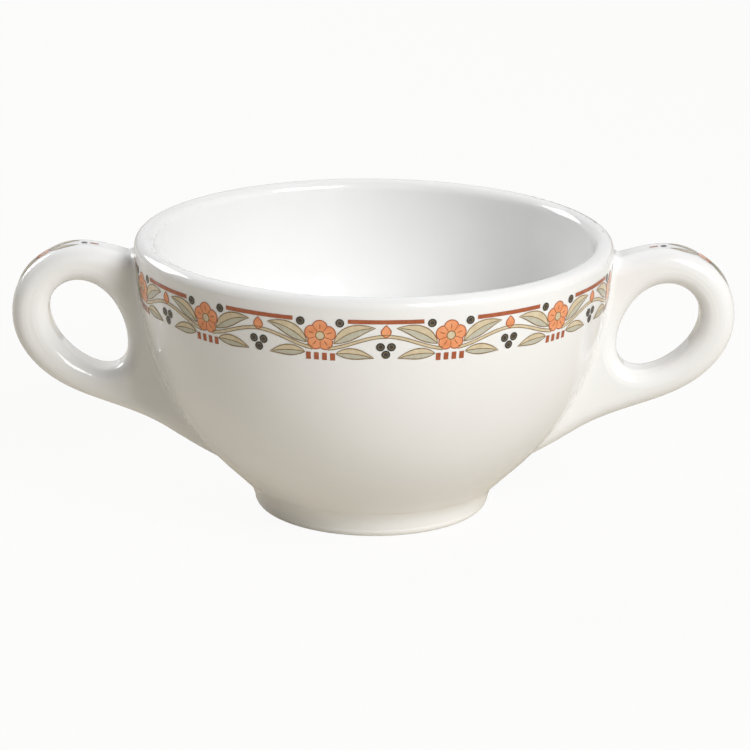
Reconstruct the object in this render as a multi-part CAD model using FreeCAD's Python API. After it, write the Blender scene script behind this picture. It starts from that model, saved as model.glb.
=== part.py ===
import FreeCAD, Part
import math
import os

from FreeCAD import Vector

# Bouillon cup: a round bowl on a low foot ring, with two looped side handles, all one piece of glazed china.
# Millimetres. The origin is the middle of the foot on the table, +Z points up, the handles lie along X.

# Bowl: its height and rim, and the pull of the curve of its side at the waist and below the lip
CUP_HEIGHT = 57.2
RIM_RADIUS = 49.0
LIP_OUTER_ROUND = 2.0
WAIST_PULL = (5.2, 5.75)
LIP_PULL = (1.12, 33.3)

# Foot: a ring that spreads up to the waist in a curve, whose turn lies in and down from the waist, and the
# recess inside the ring
WAIST_HEIGHT = 6.1
WAIST_RADIUS = 26.75
WAIST_FILLET = 0.6
FOOT_RADIUS = 24.3
FOOT_ROUND = 1.7
FOOT_FLARE = (1.75, 1.35)
RECESS_RADIUS = 19.6
RECESS_DEPTH = 2.6
RECESS_SLOPE = 1.2
RECESS_FILLET = 1.3
RECESS_ROUND = 1.0

# Hollow: the wall at the lip, the floor, and the pull of the inside curve at the floor and below the lip
LIP_WALL = 4.0
FLOOR_THICKNESS = 5.4
FLOOR_RADIUS = 16.0
FLOOR_PULL = 12.0
INSIDE_PULL = (0.07, 27.5)

# Handles: a flat loop with well rounded edges, blended into the wall. The rounding takes no more than this
# share of the loop's narrowest place, so that a flat strip stays between its two edges. The blend takes no more
# than this share of the wall between the loop's top and the round of the lip.
HANDLE_DEPTH = 10.0
HANDLE_ROUND = 3.1
ROUND_SHARE = 0.496
ROOT_FILLET = 1.3
ROOT_SHARE = 0.65

# The finger hole is an egg. Its middle stands out from the rim's radius and down from its height, its long
# axis leans out by the tilt, and the taper makes the upper end the fuller one.
HOLE_OUT = 9.2
HOLE_DROP = 18.95
HOLE_HALF_LENGTH = 10.3
HOLE_TAPER = 0.13
HOLE_POINTS = 16

# The handles were stuck on by hand and differ a little: how far each sits above or below the drawn height,
# and the half width and the tilt of its hole
RIGHT_LIFT = 0.3
RIGHT_HALF_WIDTH = 7.35
RIGHT_TILT = 37.0
LEFT_LIFT = -0.3
LEFT_HALF_WIDTH = 6.95
LEFT_TILT = 33.5

# The outer edge of the handle, from inside the wall below the lip, over the top and round the outside:
# control points, as steps out from the rim's radius and down from its height
HANDLE_EDGE = (
    (-4.5, 5.7),
    (2.2, 3.6),
    (7.0, 2.2),
    (14.7, 1.6),
    (24.8, 8.2),
    (26.1, 21.3),
    (17.6, 31.1),
    (6.8, 35.1),
)

# The rest of that edge runs down the side of the bowl and into it: control points, as shares of the way up
# the curve of the side and steps out from it
HANDLE_TAIL = (
    (0.5075, 4.828),
    (0.353, 2.974),
    (0.0578, -0.785),
)


def flat(x, z):
    """A point in the XZ plane."""
    return Vector(x, 0, z)


def bezier(*poles):
    """One smooth edge from its control points."""
    curve = Part.BezierCurve()
    curve.setPoles([flat(x, z) for x, z in poles])
    return curve.toShape()


def line(start, end):
    """One straight edge."""
    return Part.makeLine(flat(*start), flat(*end))


def arc(centre, radius, start, end):
    """An arc about a centre, between two angles in degrees."""
    points = []
    for angle in (start, (start + end) / 2, end):
        turn = math.radians(angle)
        points.append(flat(centre[0] + radius * math.cos(turn), centre[1] + radius * math.sin(turn)))
    return Part.Arc(*points).toShape()


def turned(edges):
    """The solid that a closed outline makes when it turns about the Z axis."""
    face = Part.Face(Part.Wire(edges))
    solid = face.revolve(Vector(0, 0, 0), Vector(0, 0, 1), 360)
    return Part.Solid(solid.Shells[0])


def circles_at(shape, radius, height):
    """The round edges of a turned shape at one radius and height."""
    found = []
    for edge in shape.Edges:
        middle = edge.valueAt((edge.FirstParameter + edge.LastParameter) / 2)
        if abs(math.hypot(middle.x, middle.y) - radius) < 0.01 and abs(middle.z - height) < 0.01:
            found.append(edge)
    return found


def side_poles():
    """Control points of the side of the bowl, from the waist up to the lip."""
    top = CUP_HEIGHT - LIP_OUTER_ROUND
    return (
        (WAIST_RADIUS, WAIST_HEIGHT),
        (WAIST_RADIUS + WAIST_PULL[0], WAIST_HEIGHT + WAIST_PULL[1]),
        (RIM_RADIUS - LIP_PULL[0], top - LIP_PULL[1]),
        (RIM_RADIUS, top),
    )


def off_side(share, step):
    """The point a share of the way up the side of the bowl and a step out from it."""
    side = bezier(*side_poles()).Curve
    way = side.tangent(share)[0]
    return side.value(share) + flat(way.z, -way.x) * step


def bowl_block():
    """The outside of the bowl and its foot, with no hollow in it yet."""
    foot_inner = (FOOT_RADIUS - FOOT_ROUND, 0)
    foot_side = (FOOT_RADIUS, FOOT_ROUND)
    waist = (WAIST_RADIUS, WAIST_HEIGHT)
    flare = (WAIST_RADIUS - FOOT_FLARE[0], WAIST_HEIGHT - FOOT_FLARE[1])
    crest = (RIM_RADIUS - LIP_OUTER_ROUND, CUP_HEIGHT)
    block = turned([
        line((0, 0), foot_inner),
        arc((foot_inner[0], FOOT_ROUND), FOOT_ROUND, -90, 0),
        bezier(foot_side, flare, waist),
        bezier(*side_poles()),
        arc((crest[0], crest[1] - LIP_OUTER_ROUND), LIP_OUTER_ROUND, 0, 90),
        line(crest, (0, CUP_HEIGHT)),
        line((0, CUP_HEIGHT), (0, 0)),
    ])
    return block.makeFillet(WAIST_FILLET, circles_at(block, *waist))


def recess():
    """The shallow glazed hollow inside the foot ring."""
    mouth = RECESS_RADIUS + RECESS_ROUND
    slope = (RECESS_RADIUS - RECESS_SLOPE, RECESS_DEPTH)
    cutter = turned([
        line((0, -RECESS_DEPTH), (mouth, -RECESS_DEPTH)),
        line((mouth, -RECESS_DEPTH), (mouth, 0)),
        arc((mouth, RECESS_ROUND), RECESS_ROUND, 270, 180),
        line((RECESS_RADIUS, RECESS_ROUND), slope),
        line(slope, (0, RECESS_DEPTH)),
        line((0, RECESS_DEPTH), (0, -RECESS_DEPTH)),
    ])
    return cutter.makeFillet(RECESS_FILLET, circles_at(cutter, *slope))


def hollow():
    """The inside of the bowl, up past the rounded lip."""
    lip_inner_round = LIP_WALL - LIP_OUTER_ROUND
    crest = (RIM_RADIUS - LIP_OUTER_ROUND, CUP_HEIGHT)
    wall_top = (RIM_RADIUS - LIP_WALL, CUP_HEIGHT - lip_inner_round)
    floor = RECESS_DEPTH + FLOOR_THICKNESS
    above = CUP_HEIGHT + LIP_WALL
    return turned([
        line((0, floor), (FLOOR_RADIUS, floor)),
        bezier(
            (FLOOR_RADIUS, floor),
            (FLOOR_RADIUS + FLOOR_PULL, floor),
            (wall_top[0] - INSIDE_PULL[0], wall_top[1] - INSIDE_PULL[1]),
            wall_top,
        ),
        arc((crest[0], wall_top[1]), lip_inner_round, 180, 90),
        line(crest, (crest[0], above)),
        line((crest[0], above), (0, above)),
        line((0, above), (0, floor)),
    ])


def finger_hole(half_width, tilt):
    """The egg-shaped outline of the hole: an ellipse that widens towards its upper end, leaning outwards."""
    lean = math.radians(tilt)
    points = []
    for i in range(HOLE_POINTS):
        turn = 2 * math.pi * i / HOLE_POINTS
        across = half_width * math.cos(turn) * (1 + HOLE_TAPER * math.sin(turn))
        along = HOLE_HALF_LENGTH * math.sin(turn)
        x = RIM_RADIUS + HOLE_OUT + across * math.cos(lean) + along * math.sin(lean)
        z = CUP_HEIGHT - HOLE_DROP - across * math.sin(lean) + along * math.cos(lean)
        points.append(flat(x, z))
    curve = Part.BSplineCurve()
    curve.interpolate(points, PeriodicFlag=True)
    return Part.Wire(curve.toShape())


def handle(lift, half_width, tilt):
    """One handle on the +X side, with its inner end still buried in the bowl."""
    poles = [flat(RIM_RADIUS + out, CUP_HEIGHT - drop) for out, drop in HANDLE_EDGE]
    poles += [off_side(share, step) for share, step in HANDLE_TAIL]
    curve = Part.BSplineCurve(poles, None, None, False, 3, None, False)
    outline = Part.Wire([curve.toShape(), Part.makeLine(poles[-1], poles[0])])
    hole = finger_hole(half_width, tilt)
    face = Part.Face([outline, hole], "Part::FaceMakerBullseye")
    face.translate(Vector(0, -HANDLE_DEPTH / 2, lift))
    slab = face.extrude(Vector(0, HANDLE_DEPTH, 0))
    rims = []
    for edge in slab.Edges:
        middle = edge.valueAt((edge.FirstParameter + edge.LastParameter) / 2)
        on_face = abs(abs(middle.y) - HANDLE_DEPTH / 2) < 0.001
        if on_face and not isinstance(edge.Curve, Part.Line):
            rims.append(edge)
    narrowest = min(outline.distToShape(hole)[0], HANDLE_DEPTH)
    return slab.makeFillet(min(HANDLE_ROUND, narrowest * ROUND_SHARE), rims)


def root_edges(cup, block, loop):
    """The edges where a handle meets the bowl: they lie on the skins of both."""
    found = []
    for edge in cup.Edges:
        span = edge.LastParameter - edge.FirstParameter
        spots = [Part.Vertex(edge.valueAt(edge.FirstParameter + span * share)) for share in (0.3, 0.7)]
        skins = block.Shells[0], loop.Shells[0]
        if all(skin.distToShape(spot)[0] < 0.001 for skin in skins for spot in spots):
            found.append(edge)
    return found


def bouillon_cup():
    """The whole cup: bowl and handles grown together, then hollowed."""
    block = bowl_block()
    right = handle(RIGHT_LIFT, RIGHT_HALF_WIDTH, RIGHT_TILT)
    left = handle(LEFT_LIFT, LEFT_HALF_WIDTH, LEFT_TILT)
    left = left.mirror(Vector(0, 0, 0), Vector(1, 0, 0))
    cup = block.fuse([right, left])
    roots = root_edges(cup, block, right) + root_edges(cup, block, left)
    room = CUP_HEIGHT - LIP_OUTER_ROUND - max(edge.BoundBox.ZMax for edge in roots)
    cup = cup.makeFillet(min(ROOT_FILLET, room * ROOT_SHARE), roots)
    return cup.cut([hollow(), recess()])


os.makedirs("parts", exist_ok=True)
cup = bouillon_cup()
cup.exportStep("parts/cup.step")
print("volume", round(cup.Volume), "solids", len(cup.Solids), "faces", len(cup.Faces), "valid", cup.isValid())
print("box", cup.BoundBox)
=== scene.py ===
import math

import bpy
import numpy as np
from mathutils import Matrix


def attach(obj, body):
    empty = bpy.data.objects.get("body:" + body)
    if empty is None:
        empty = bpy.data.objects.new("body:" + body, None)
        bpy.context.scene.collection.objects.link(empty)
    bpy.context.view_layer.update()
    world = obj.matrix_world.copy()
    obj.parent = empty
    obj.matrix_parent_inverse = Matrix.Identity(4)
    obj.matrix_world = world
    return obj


# The cup: bowl, foot and both handles are one piece of white vitrified china under a clear gloss glaze. The
# bowl is turned in a mould, the handles are pressed and stuck on, and the glaze is wiped off the ring of the
# foot, where the cup stood in the kiln.
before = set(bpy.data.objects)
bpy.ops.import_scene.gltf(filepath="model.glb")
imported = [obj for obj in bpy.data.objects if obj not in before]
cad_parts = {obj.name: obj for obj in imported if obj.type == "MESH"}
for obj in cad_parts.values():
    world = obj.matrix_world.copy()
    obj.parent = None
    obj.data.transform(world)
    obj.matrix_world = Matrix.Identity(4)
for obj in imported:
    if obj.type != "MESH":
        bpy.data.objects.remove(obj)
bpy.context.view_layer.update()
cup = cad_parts["cup"]


def linear(red, green, blue):
    """An 8-bit display colour as the linear colour that a shader takes."""
    channels = []
    for channel in (red, green, blue):
        share = channel / 255
        channels.append(share / 12.92 if share <= 0.04045 else ((share + 0.055) / 1.055) ** 2.4)
    return (*channels, 1)


def node(tree, kind, **values):
    """A node of a kind. A value goes to the input of that name, or else to the setting of that name."""
    made = tree.nodes.new(kind)
    for name, value in values.items():
        label = name.replace("_", " ").title()
        if label in made.inputs:
            made.inputs[label].default_value = value
        else:
            setattr(made, name, value)
    return made


def ramp(tree, stops):
    """A colour ramp with the given (place, grey or colour) stops."""
    made = tree.nodes.new("ShaderNodeValToRGB")
    band = made.color_ramp
    while len(band.elements) < len(stops):
        band.elements.new(0.5)
    for element, (place, colour) in zip(band.elements, stops):
        element.position = place
        element.color = colour if isinstance(colour, tuple) else (colour, colour, colour, 1)
    return made


GLAZE_IOR = 1.52
WAVE_HEIGHT = 0.00006
WAVES_PER_METRE = 55.0
PEEL_SHARE = 0.03
GLOSS = 0.07
GLOSS_CHANGE = 0.05


def glaze_skin():
    """The skin of the glaze: long soft waves with a trace of orange peel, and gloss that varies a bit."""
    group = bpy.data.node_groups.new("glaze_skin", "ShaderNodeTree")
    levels = (("Waves Per Metre", WAVES_PER_METRE), ("Gloss", GLOSS), ("Gloss Change", GLOSS_CHANGE))
    for name, level in levels:
        socket = group.interface.new_socket(name, in_out="INPUT", socket_type="NodeSocketFloat")
        socket.default_value = level
    for name in ("Height", "Roughness"):
        group.interface.new_socket(name, in_out="OUTPUT", socket_type="NodeSocketFloat")
    enter = group.nodes.new("NodeGroupInput")
    leave = group.nodes.new("NodeGroupOutput")
    place = group.nodes.new("ShaderNodeTexCoord")
    waves = node(group, "ShaderNodeTexNoise", detail=1.0, roughness=0.4)
    peel = node(group, "ShaderNodeTexNoise", scale=620.0, detail=1.0, roughness=0.5)
    smears = node(group, "ShaderNodeTexNoise", scale=38.0, detail=4.0, roughness=0.6)
    faint = node(group, "ShaderNodeMath", operation="MULTIPLY")
    faint.inputs[1].default_value = PEEL_SHARE
    both = node(group, "ShaderNodeMath", operation="ADD")
    spread = node(group, "ShaderNodeMapRange")
    spread.inputs["From Min"].default_value = 0.35
    spread.inputs["From Max"].default_value = 0.7
    wide = node(group, "ShaderNodeMath", operation="MULTIPLY")
    gloss = node(group, "ShaderNodeMath", operation="ADD")
    join = group.links.new
    for texture in (waves, peel, smears):
        join(place.outputs["Object"], texture.inputs["Vector"])
    join(enter.outputs["Waves Per Metre"], waves.inputs["Scale"])
    join(peel.outputs["Fac"], faint.inputs[0])
    join(waves.outputs["Fac"], both.inputs[0])
    join(faint.outputs[0], both.inputs[1])
    join(both.outputs[0], leave.inputs["Height"])
    join(smears.outputs["Fac"], spread.inputs["Value"])
    join(spread.outputs["Result"], wide.inputs[0])
    join(enter.outputs["Gloss Change"], wide.inputs[1])
    join(wide.outputs[0], gloss.inputs[0])
    join(enter.outputs["Gloss"], gloss.inputs[1])
    join(gloss.outputs[0], leave.inputs["Roughness"])
    return group


GLAZE_SKIN = glaze_skin()


def glazed(name):
    """A material under the gloss glaze: its node tree, its shader and the height of the glaze's skin."""
    material = bpy.data.materials.new(name)
    material.use_nodes = True
    tree = material.node_tree
    shader = tree.nodes["Principled BSDF"]
    shader.inputs["IOR"].default_value = GLAZE_IOR
    skin = node(tree, "ShaderNodeGroup", node_tree=GLAZE_SKIN)
    bump = node(tree, "ShaderNodeBump", strength=1.0, distance=WAVE_HEIGHT)
    tree.links.new(skin.outputs["Height"], bump.inputs["Height"])
    tree.links.new(bump.outputs["Normal"], shader.inputs["Normal"])
    tree.links.new(skin.outputs["Roughness"], shader.inputs["Roughness"])
    return material, tree, shader, skin


SPECK_FROM = 0.93
SPECK_STRENGTH = 0.35
BARE_RANGE = (0.00028, 0.00046)
BARE_RAGGED = 0.00035
BARE_ROUGHNESS = 0.62


def china():
    """Glazed white china: faint clouds of grey, a few iron specks and a bare, rubbed ring under the foot."""
    material, tree, shader, skin = glazed("glazed_china")
    join = tree.links.new
    place = tree.nodes.new("ShaderNodeTexCoord")
    clouds = node(tree, "ShaderNodeTexNoise", scale=21.0, detail=3.0, roughness=0.55)
    body = ramp(tree, ((0.3, linear(240, 240, 239)), (0.7, linear(243, 243, 243))))
    cells = node(tree, "ShaderNodeTexVoronoi", scale=105.0, randomness=1.0)
    rare = node(tree, "ShaderNodeSeparateColor")
    chosen = node(tree, "ShaderNodeMath", operation="GREATER_THAN")
    chosen.inputs[1].default_value = SPECK_FROM
    dot = ramp(tree, ((0.012, 1.0), (0.03, 0.0)))
    speck = node(tree, "ShaderNodeMath", operation="MULTIPLY")
    speck_share = node(tree, "ShaderNodeMath", operation="MULTIPLY")
    speck_share.inputs[1].default_value = SPECK_STRENGTH
    specked = node(tree, "ShaderNodeMix", data_type="RGBA")
    specked.inputs["B"].default_value = linear(120, 112, 104)
    height = node(tree, "ShaderNodeSeparateXYZ")
    rub = node(tree, "ShaderNodeTexNoise", scale=900.0, detail=3.0, roughness=0.7)
    ragged = node(tree, "ShaderNodeMath", operation="MULTIPLY_ADD")
    ragged.inputs[1].default_value = BARE_RAGGED
    bare = ramp(tree, ((0.0, 1.0), (1.0, 0.0)))
    low = node(tree, "ShaderNodeMapRange")
    low.inputs["From Min"].default_value = BARE_RANGE[0]
    low.inputs["From Max"].default_value = BARE_RANGE[1]
    bisque = ramp(tree, ((0.3, linear(196, 188, 174)), (0.75, linear(222, 217, 206))))
    footed = node(tree, "ShaderNodeMix", data_type="RGBA")
    rough = node(tree, "ShaderNodeMix")
    rough.inputs["B"].default_value = BARE_ROUGHNESS
    for texture in (clouds, cells, rub):
        join(place.outputs["Object"], texture.inputs["Vector"])
    join(clouds.outputs["Fac"], body.inputs["Fac"])
    join(cells.outputs["Color"], rare.inputs["Color"])
    join(rare.outputs["Red"], chosen.inputs[0])
    join(cells.outputs["Distance"], dot.inputs["Fac"])
    join(chosen.outputs[0], speck.inputs[0])
    join(dot.outputs["Color"], speck.inputs[1])
    join(speck.outputs[0], speck_share.inputs[0])
    join(speck_share.outputs[0], specked.inputs["Factor"])
    join(body.outputs["Color"], specked.inputs["A"])
    join(place.outputs["Object"], height.inputs["Vector"])
    join(rub.outputs["Fac"], ragged.inputs[0])
    join(height.outputs["Z"], ragged.inputs[2])
    join(ragged.outputs[0], low.inputs["Value"])
    join(low.outputs["Result"], bare.inputs["Fac"])
    join(rub.outputs["Fac"], bisque.inputs["Fac"])
    join(bare.outputs["Color"], footed.inputs["Factor"])
    join(specked.outputs["Result"], footed.inputs["A"])
    join(bisque.outputs["Color"], footed.inputs["B"])
    join(footed.outputs["Result"], shader.inputs["Base Color"])
    join(bare.outputs["Color"], rough.inputs["Factor"])
    join(skin.outputs["Roughness"], rough.inputs["A"])
    join(rough.outputs["Result"], shader.inputs["Roughness"])
    return material


cup.material_slots[0].material = china()

# The printed border's first ink, sage: the shaded half of every leaf on a vine that runs round the bowl. The
# border is a transfer, a film of ceramic inks printed one over the other, laid on below the lip and over both
# handles and fired under the glaze. Its sizes are in millimetres, as are the two curves of the cup's source.
REPEATS = 12
BAND_RADIUS = 48.5
BAND_FOOT = 44.7
PITCH = 2 * math.pi * BAND_RADIUS / REPEATS
FIRST_BLOSSOM = math.radians(258)
SIDE_POLES = np.array(((26.75, 6.1), (31.95, 11.85), (47.88, 21.9), (49.0, 55.2)))
RIM_RADIUS = 49.0
HANDLE_POLES = np.array((
    (44.5, 51.5), (51.2, 53.6), (56.0, 55.0), (63.7, 55.6), (73.8, 49.0), (75.1, 35.9),
    (66.6, 26.1), (55.8, 22.1), (43.7, 18.1), (37.4, 12.7), (27.2, 7.7),
))
HANDLE_LIFT = (0.3, -0.3)
HANDLE_FLAT = 1.9
HANDLE_ROUND = 3.1
ROOT_HALF = 4.5
INK_LIFT = 0.02
INK_STEP = 0.008
SIDE_STEPS = 900
EDGE_STEPS = 1200
LEAF_ROWS = 25
MIDRIB = 4


def along(poles, shares):
    """Points on the Bezier curve of the poles: each level blends neighbours by the share, down to one."""
    level = np.repeat(np.asarray(poles, float)[:, None], len(shares), axis=1)
    shares = shares[:, None]
    while len(level) > 1:
        level = level[:-1] * (1 - shares) + level[1:] * shares
    return level[0]


def on_bowl(flat, lift):
    """Flat drawing to the side of the bowl. Across is arc length at the band's radius, so it turns into an
    angle about the axis. Up is height, and the radius at a height is read off the curve of the side. The lift
    goes out along the side's own normal."""
    side = along(SIDE_POLES, np.linspace(0, 1, SIDE_STEPS))
    slope = np.gradient(side[:, 0], side[:, 1])
    z = BAND_FOOT + flat[..., 1]
    turn = FIRST_BLOSSOM + flat[..., 0] / BAND_RADIUS
    lean = np.interp(z, side[:, 1], slope)
    out = lift / np.sqrt(1 + lean ** 2)
    r = np.interp(z, side[:, 1], side[:, 0]) + out
    return np.stack([r * np.cos(turn), r * np.sin(turn), z - out * lean], -1) / 1000


def handle_edge():
    """The outer edge of a handle: a cubic spline whose basis at each degree blends two of the one below."""
    spans = len(HANDLE_POLES) - 3
    knots = np.concatenate([np.zeros(3), np.arange(spans + 1), np.full(3, spans)])
    t = np.linspace(0, spans - 1e-9, EDGE_STEPS)
    basis = [((knots[i] <= t) & (t < knots[i + 1])).astype(float) for i in range(len(knots) - 1)]
    for degree in (1, 2, 3):
        rise = [np.zeros_like(t) for _ in basis]
        for i in range(len(basis) - 1):
            first = knots[i + degree] - knots[i]
            if first > 0:
                rise[i] = rise[i] + (t - knots[i]) / first * basis[i]
            second = knots[min(i + degree + 1, len(knots) - 1)] - knots[i + 1]
            if second > 0:
                rise[i] = rise[i] + (knots[i + degree + 1] - t) / second * basis[i + 1]
        basis = rise[:-1]
    edge = np.stack(basis[:len(HANDLE_POLES)], 1) @ HANDLE_POLES
    return edge[np.argmax(edge[:, 0] >= RIM_RADIUS):]


def on_handle(flat, lift, side):
    """Flat drawing to the outer edge of a handle, on the right (side 0) or the left (side 1). Across is arc
    length from where the edge leaves the lip's radius, and up is the way over the edge: flat in the middle,
    then round by an arc. The left handle is the right one turned half round."""
    edge = handle_edge()
    step = np.gradient(edge, axis=0)
    step /= np.linalg.norm(step, axis=1)[:, None]
    length = np.concatenate([[0], np.cumsum(np.linalg.norm(np.diff(edge, axis=0), axis=1))])
    x, z, run_x, run_z = (np.interp(flat[..., 0], length, row) for row in (*edge.T, *step.T))
    over = np.abs(flat[..., 1])
    bend = np.clip((over - HANDLE_FLAT) / HANDLE_ROUND, 0, None)
    y = np.sign(flat[..., 1]) * (np.minimum(over, HANDLE_FLAT) + (HANDLE_ROUND + lift) * np.sin(bend))
    rise = (HANDLE_ROUND + lift) * np.cos(bend) - HANDLE_ROUND
    way = 1 if side == 0 else -1
    x = x - run_z * rise
    z = z + run_x * rise + HANDLE_LIFT[side]
    return np.stack([x * way, y * way, z], -1) / 1000


def leaf(root, tip, bend, width):
    """A leaf: a bent spine from root to tip, as wide at each share s of it as a sine of s to the power 0.8.
    Its columns run from the right edge over the midrib, the middle one, to the left edge."""
    s = np.linspace(0, 1, LEAF_ROWS)
    root, tip = np.array(root), np.array(tip)
    run = tip - root
    side = np.array((-run[1], run[0]))
    spine = root + run * s[:, None] + side * (bend * 4 * s * (1 - s))[:, None]
    half = width / 2 * np.sin(math.pi * s ** 0.8)
    way = run + side * (bend * 4 * (1 - 2 * s))[:, None]
    way /= np.linalg.norm(way, axis=1)[:, None]
    normal = np.stack([-way[:, 1], way[:, 0]], 1)
    return spine[:, None] + normal[:, None] * (half[:, None] * np.linspace(-1, 1, 2 * MIDRIB + 1))[..., None]


def printed(name, material, band, sprig, layer):
    """One ink as one piece: its drawing of a repeat goes round the bowl, its drawing of a sprig over both
    handles. Each shape is a grid of points, joined to its neighbours in rows and columns. A shape that would
    lie wholly inside the root of a handle is left out."""
    lift = INK_LIFT + INK_STEP * layer
    patches = []
    for repeat in range(REPEATS):
        for shape in band:
            patch = on_bowl(shape + np.array((repeat * PITCH, 0)), lift)
            if np.abs(patch[..., 1]).max() * 1000 > ROOT_HALF:
                patches.append(patch)
    for side in (0, 1):
        patches += [on_handle(shape, lift, side) for shape in sprig]
    corners = []
    quads = []
    first = 0
    for patch in patches:
        rows, columns = patch.shape[:2]
        spot = first + np.arange(rows * columns).reshape(rows, columns)
        cells = np.stack([spot[:-1, :-1], spot[1:, :-1], spot[1:, 1:], spot[:-1, 1:]], -1)
        quads.append(cells.reshape(-1, 4))
        corners.append(patch.reshape(-1, 3))
        first += rows * columns
    mesh = bpy.data.meshes.new(name)
    mesh.from_pydata(np.concatenate(corners).tolist(), [], np.concatenate(quads).tolist())
    mesh.shade_smooth()
    mesh.materials.append(material)
    piece = bpy.data.objects.new(name, mesh)
    bpy.context.collection.objects.link(piece)
    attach(piece, "root")


def ink(name, pale, deep, grain=900.0):
    """A ceramic ink under the glaze, laid a little unevenly: it varies between a pale and a deep shade."""
    material, tree, shader, _ = glazed(name)
    place = tree.nodes.new("ShaderNodeTexCoord")
    patchy = node(tree, "ShaderNodeTexNoise", scale=grain, detail=3.0, roughness=0.6)
    shade = ramp(tree, ((0.32, pale), (0.68, deep)))
    tree.links.new(place.outputs["Object"], patchy.inputs["Vector"])
    tree.links.new(patchy.outputs["Fac"], shade.inputs["Fac"])
    tree.links.new(shade.outputs["Color"], shader.inputs["Base Color"])
    return material


# Root, tip, bend and width of the leaves to either side of a blossom, and of those of a handle's sprig
SPRAY = [leaf((2.7, 3.5), (10.7, 6.9), 0.10, 2.7), leaf((3.1, 1.45), (10.4, 0.7), 0.06, 2.15)]
SPRAY_LEFT = [
    leaf((-2.7, 3.5), (-10.7, 6.9), -0.10, 2.7),
    leaf((-3.1, 1.45), (-10.4, 0.7), -0.06, 2.15),
]
SPRIG_HEART = (19.5, 0.0)
SPRIG = [leaf((20.9, 0.4), (27.4, 1.5), 0.08, 1.7), leaf((18.1, -0.4), (11.6, -1.5), 0.08, 1.7)]
SPRIG_LEFT = [
    leaf((20.9, -0.4), (27.4, -1.5), -0.08, 1.7),
    leaf((18.1, 0.4), (11.6, 1.5), -0.08, 1.7),
]
sage = ink("sage_ink", linear(202, 199, 182), linear(188, 185, 166))
shaded = [each[:, :MIDRIB + 1] for each in SPRAY] + [each[:, MIDRIB:] for each in SPRAY_LEFT]
sprig_shaded = [each[:, :MIDRIB + 1] for each in SPRIG] + [each[:, MIDRIB:] for each in SPRIG_LEFT]
printed("border_sage", sage, shaded, sprig_shaded, 0)

# Tan: the lit half of every leaf, the stem of the vine and the hearts of the blossoms. It is the second ink
# of the transfer, printed up to the midrib where the sage ends and fired together with it.
HEART = (0.0, 5.0)
HEART_RADIUS = 0.85
SPRIG_HEART_RADIUS = 0.5
BEHIND_BLOSSOM = 1.5
VINE_HEIGHT = 3.75
VINE_SWING = 1.45
STEM_HALF = 0.3


def strip(path, half, closed=False):
    """A stroke of ink: the path, spread to both sides along its normal by half its width at each point. On
    a closed path the first and the last point are one, and its neighbours give its direction."""
    if closed:
        way = np.roll(path[:-1], -1, axis=0) - np.roll(path[:-1], 1, axis=0)
        way = np.concatenate([way, way[:1]])
    else:
        way = np.gradient(path, axis=0)
    way /= np.linalg.norm(way, axis=1)[:, None]
    normal = np.stack([-way[:, 1], way[:, 0]], 1)
    half = np.broadcast_to(half, len(path))
    return path[:, None] + normal[:, None] * (half[:, None] * np.array((-1, 0, 1)))[..., None]


def disc(centre, radius):
    """A filled round: a square grid pressed into a circle, x by the root of 1 - y*y/2 and y by the root of
    1 - x*x/2."""
    a, b = np.meshgrid(np.linspace(-1, 1, 11), np.linspace(-1, 1, 11), indexing="ij")
    round_grid = np.stack([a * np.sqrt(1 - b ** 2 / 2), b * np.sqrt(1 - a ** 2 / 2)], -1)
    return np.array(centre) + radius * round_grid


def vine_stem():
    """The stem from one blossom to the next: it swings up to a crest half way between them, as a cosine."""
    across = np.linspace(BEHIND_BLOSSOM, PITCH - BEHIND_BLOSSOM, 57)
    path = np.stack([across, VINE_HEIGHT - VINE_SWING * np.cos(2 * math.pi * across / PITCH)], 1)
    return strip(path, STEM_HALF)


tan = ink("tan_ink", linear(222, 208, 178), linear(208, 190, 156))
stem = vine_stem()
lit = [each[:, MIDRIB:] for each in SPRAY] + [each[:, :MIDRIB + 1] for each in SPRAY_LEFT]
sprig_lit = [each[:, MIDRIB:] for each in SPRIG] + [each[:, :MIDRIB + 1] for each in SPRIG_LEFT]
hearts = disc(HEART, HEART_RADIUS), disc(SPRIG_HEART, SPRIG_HEART_RADIUS)
printed("border_tan", tan, lit + [stem, hearts[0]], sprig_lit + [hearts[1]], 1)

# Orange: the petals, five round lobes about each heart, and a bud on each crest of the vine. It is the third
# ink, and its shade drifts more broadly over the petals than that of the others.
BLOSSOM_RADIUS = 3.1
SPRIG_BLOSSOM_RADIUS = 1.75
UNDER_HEART = 0.98


def petals(angle):
    """Five round lobes: the radius dips to a notch wherever the cosine of 2.5 times the angle is zero."""
    return 0.76 + 0.24 * np.abs(np.cos(2.5 * (angle - math.pi / 2))) ** 0.7


def corolla(centre, inner, outer):
    """The petals as a ring: rows from the heart's edge out, columns round it, the outer edge in lobes."""
    share, angle = np.meshgrid(np.linspace(0, 1, 6), np.linspace(0, 2 * math.pi, 101), indexing="ij")
    r = inner + (outer * petals(angle) - inner) * share
    return np.array(centre) + np.stack([r * np.cos(angle), r * np.sin(angle)], -1)


orange = ink("orange_ink", linear(243, 166, 118), linear(229, 143, 93), 520.0)
bud = leaf((PITCH / 2, 5.0), (PITCH / 2, 7.5), 0.0, 1.9)
blossom = corolla(HEART, HEART_RADIUS * UNDER_HEART, BLOSSOM_RADIUS)
sprig_blossom = corolla(SPRIG_HEART, SPRIG_HEART_RADIUS * UNDER_HEART, SPRIG_BLOSSOM_RADIUS)
printed("border_orange", orange, [blossom, bud], [sprig_blossom], 2)

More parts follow.
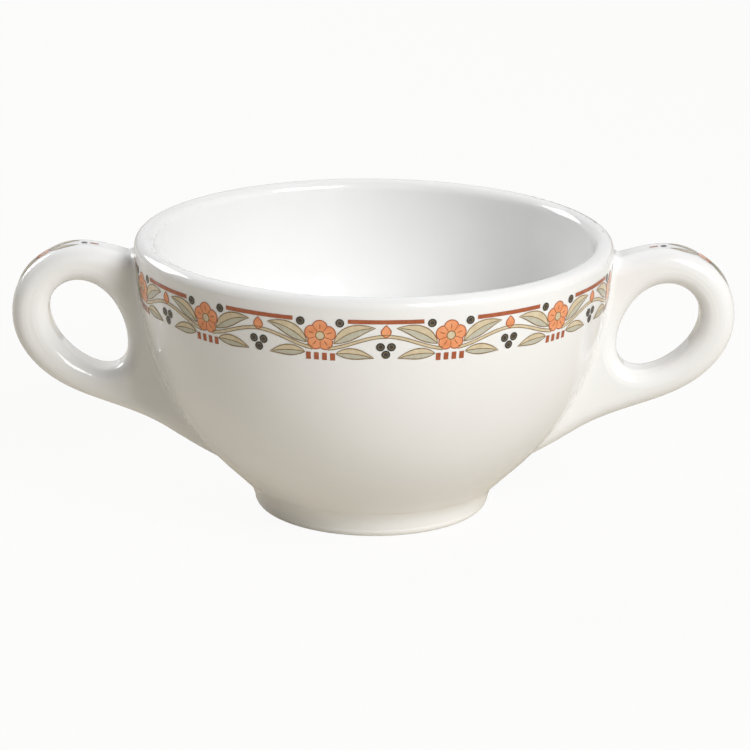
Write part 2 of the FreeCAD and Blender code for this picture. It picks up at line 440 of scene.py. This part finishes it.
# Rust: the outlines and veins of the petals, a rule above each swing of the vine and four blocks below each
# blossom. It is the fourth ink, a red-brown, and the first that is drawn in lines.
RUST_HALF = 0.1
RULE_START = 5.4
RULE_UP = 8.15
RULE_HALF = 0.42
BLOCKS = (-2.4, -0.8, 0.8, 2.4)
BLOCK_TOP = 1.5
BLOCK_HALF = 0.47
DASHES = (7.6, 29.8)
DASH_LENGTH = 1.7
DASH_HALF = 0.34


def ring(centre, radius, lobes=None, points=101):
    """A closed round path, its radius scaled by a function of the angle if one is given."""
    angle = np.linspace(0, 2 * math.pi, points)
    r = radius * (lobes(angle) if lobes else np.ones(points))
    return np.array(centre) + np.stack([r * np.cos(angle), r * np.sin(angle)], 1)


def outline(patch, half):
    """A pen stroke round a leaf, from its root over its tip and back, that swells along both sides."""
    path = np.concatenate([patch[:, 0], patch[-2::-1, -1]])
    swell = np.abs(np.sin(2 * math.pi * np.linspace(0, 1, len(path))))
    return strip(path, half * (0.75 + 0.35 * swell))


def spokes(centre, start, stop, turn, half):
    """Five straight strokes from a heart, the first at the given angle, each thin at both ends."""
    reach = np.linspace(start, stop, 7)[:, None]
    for spoke in range(5):
        angle = turn + 2 * math.pi / 5 * spoke
        line = np.array(centre) + reach * np.array((math.cos(angle), math.sin(angle)))
        yield strip(line, half * np.sin(np.linspace(0.6, 2.54, 7)))


rust = ink("rust_ink", linear(180, 99, 62), linear(156, 78, 44))
rule = np.stack([np.linspace(RULE_START, PITCH - RULE_START, 41), np.full(41, RULE_UP)], 1)
rust_shapes = [strip(rule, RULE_HALF)]
rust_shapes += [strip(np.array(((block, 0.0), (block, BLOCK_TOP))), BLOCK_HALF) for block in BLOCKS]
rust_shapes += [strip(ring(HEART, BLOSSOM_RADIUS, petals), RUST_HALF, True), outline(bud, RUST_HALF)]
rust_shapes += spokes(HEART, 1.3, 2.35, math.radians(90), RUST_HALF)
rust_shapes += spokes(HEART, 0.9, 2.3, math.radians(54), RUST_HALF * 0.8)
sprig_rust = [strip(ring(SPRIG_HEART, SPRIG_BLOSSOM_RADIUS, petals), RUST_HALF * 0.8, True)]
sprig_rust += [strip(np.array(((dash, 0.0), (dash + DASH_LENGTH, 0.0))), DASH_HALF) for dash in DASHES]
sprig_rust += spokes(SPRIG_HEART, 0.55, 1.3, math.radians(54), RUST_HALF * 0.7)
printed("border_rust", rust, rust_shapes, sprig_rust, 3)

# Slate: the berries, three in the hollow under each crest and one at either shoulder of a blossom. It is the
# fifth ink, laid on solid, so that the berries are the darkest spots of the border.
BERRY_RADIUS = 0.86
SPRIG_BERRY_RADIUS = 0.62
BERRIES = (
    (PITCH / 2, 1.5),
    (PITCH / 2 - 1.05, 3.05),
    (PITCH / 2 + 1.05, 3.05),
    (3.85, 7.75),
    (-3.85, 7.75),
)
SPRIG_BERRIES = ((10.5, 0.0), (28.5, 0.0))
slate = ink("slate_ink", linear(62, 65, 66), linear(42, 45, 46))
sprig_berries = [disc(berry, SPRIG_BERRY_RADIUS) for berry in SPRIG_BERRIES]
printed("border_slate", slate, [disc(berry, BERRY_RADIUS) for berry in BERRIES], sprig_berries, 4)

# Key: fine olive-brown pen lines round the leaves, the stem and the hearts, along the midribs and on the
# berries. It is the last ink, and it covers the joins of the fields of colour below it.
KEY_HALF = 0.09
BERRY_RING = 0.55
key = ink("key_ink", linear(150, 122, 76), linear(122, 96, 54))
key_shapes = [strip(stem[:, 0], KEY_HALF * 0.8), strip(stem[:, 2], KEY_HALF * 0.8)]
for each in SPRAY + SPRAY_LEFT:
    key_shapes += [outline(each, KEY_HALF), strip(each[:-2, MIDRIB], KEY_HALF * 0.8)]
key_shapes.append(strip(ring(HEART, HEART_RADIUS, points=41), KEY_HALF, True))
for berry in BERRIES:
    key_shapes.append(strip(ring(berry, BERRY_RADIUS * BERRY_RING, points=31), KEY_HALF * 0.65, True))
sprig_keys = []
for each in SPRIG + SPRIG_LEFT:
    sprig_keys += [outline(each, KEY_HALF * 0.8), strip(each[:-2, MIDRIB], KEY_HALF * 0.6)]
sprig_keys.append(strip(ring(SPRIG_HEART, SPRIG_HEART_RADIUS, points=31), KEY_HALF * 0.8, True))
printed("border_key", key, key_shapes, sprig_keys, 5)

# The floor: a plain pale sweep, a hair below the foot so that the two faces don't share a plane. It shows
# nearly white to the camera, and the rest of what it shows is real light, which keeps a faint shadow.
REACH = 6.0
HAIR = 0.00005
WHITE_SHARE = 0.93
floor_mesh = bpy.data.meshes.new("floor")
floor_corners = [(x * REACH, y * REACH, -HAIR) for x, y in ((-1, -1), (1, -1), (1, 1), (-1, 1))]
floor_mesh.from_pydata(floor_corners, [], [(0, 1, 2, 3)])
floor = bpy.data.objects.new("floor", floor_mesh)
bpy.context.collection.objects.link(floor)
sweep = bpy.data.materials.new("floor_sweep")
sweep.use_nodes = True
tree = sweep.node_tree
pale = tree.nodes["Principled BSDF"]
pale.inputs["Base Color"].default_value = (0.76, 0.71, 0.617, 1)
pale.inputs["Roughness"].default_value = 0.9
pale.inputs["Specular IOR Level"].default_value = 0.0
glow = node(tree, "ShaderNodeEmission")
glow.inputs["Color"].default_value = (1, 1, 1, 1)
glow.inputs["Strength"].default_value = 1.0
sight = node(tree, "ShaderNodeLightPath")
share = node(tree, "ShaderNodeMath", operation="MULTIPLY")
share.inputs[1].default_value = WHITE_SHARE
blend = node(tree, "ShaderNodeMixShader")
tree.links.new(sight.outputs["Is Camera Ray"], share.inputs[0])
tree.links.new(share.outputs[0], blend.inputs["Fac"])
tree.links.new(pale.outputs["BSDF"], blend.inputs[1])
tree.links.new(glow.outputs["Emission"], blend.inputs[2])
tree.links.new(blend.outputs["Shader"], tree.nodes["Material Output"].inputs["Surface"])
floor_mesh.materials.append(sweep)

# The light: three soft windows in a dark room. The main one stands in front on the right, one behind on the
# left lights up the lip, and a wide one overhead fills the bowl. The room shows white to the camera and, a
# little dimmer, in reflections.
ROOM_LEVEL = 0.035
REFLECTED_LEVEL = 0.9
WINDOW_DISTANCE = 1.3
AIM_HEIGHT = 0.03
world = bpy.data.worlds.new("room")
bpy.context.scene.world = world
world.use_nodes = True
tree = world.node_tree
room = tree.nodes["Background"]
room.inputs["Color"].default_value = (1, 1, 1, 1)
room.inputs["Strength"].default_value = ROOM_LEVEL
backdrop = node(tree, "ShaderNodeBackground")
backdrop.inputs["Color"].default_value = (1, 1, 1, 1)
backdrop.inputs["Strength"].default_value = 1.0
sight = node(tree, "ShaderNodeLightPath")
dimmer = node(tree, "ShaderNodeMath", operation="MULTIPLY_ADD")
dimmer.inputs[1].default_value = REFLECTED_LEVEL
blend = node(tree, "ShaderNodeMixShader")
tree.links.new(sight.outputs["Is Glossy Ray"], dimmer.inputs[0])
tree.links.new(sight.outputs["Is Camera Ray"], dimmer.inputs[2])
tree.links.new(dimmer.outputs[0], blend.inputs["Fac"])
tree.links.new(room.outputs["Background"], blend.inputs[1])
tree.links.new(backdrop.outputs["Background"], blend.inputs[2])
tree.links.new(blend.outputs["Shader"], tree.nodes["World Output"].inputs["Surface"])


def window(name, bearing, height, watts, size):
    """A soft light turned to the cup: its bearing about the cup, 0 on the right and 270 in front, and its
    height over the table, both in degrees."""
    light = bpy.data.lights.new(name, "AREA")
    light.shape = "RECTANGLE"
    light.size, light.size_y = size
    light.energy = watts
    lamp = bpy.data.objects.new(name, light)
    bpy.context.collection.objects.link(lamp)
    lamp.matrix_world = (
        Matrix.Translation((0, 0, AIM_HEIGHT))
        @ Matrix.Rotation(math.radians(bearing + 90), 4, "Z")
        @ Matrix.Rotation(math.radians(90 - height), 4, "X")
        @ Matrix.Translation((0, 0, WINDOW_DISTANCE))
    )


window("window_front_right", 310, 34, 15.6, (0.75, 0.6))
window("window_back_left", 143, 25, 8.2, (0.6, 0.6))
window("window_above", 110, 64, 4.6, (1.5, 1.5))

# The camera: a long lens in front of the cup that looks down on it by 17 degrees, a little rolled.
CAMERA_TILT = math.radians(90 - 17.27)
CAMERA_ROLL = math.radians(0.62)
lens = bpy.data.cameras.new("camera")
lens.sensor_width = 36.0
lens.lens = 162.25
lens.clip_start = 0.01
camera = bpy.data.objects.new("camera", lens)
bpy.context.collection.objects.link(camera)
camera.matrix_world = (
    Matrix.Translation((0.00049, -0.6684, 0.2349))
    @ Matrix.Rotation(CAMERA_TILT, 4, "X")
    @ Matrix.Rotation(CAMERA_ROLL, 4, "Z")
)
bpy.context.scene.camera = camera
bpy.context.scene.view_settings.view_transform = "Standard"
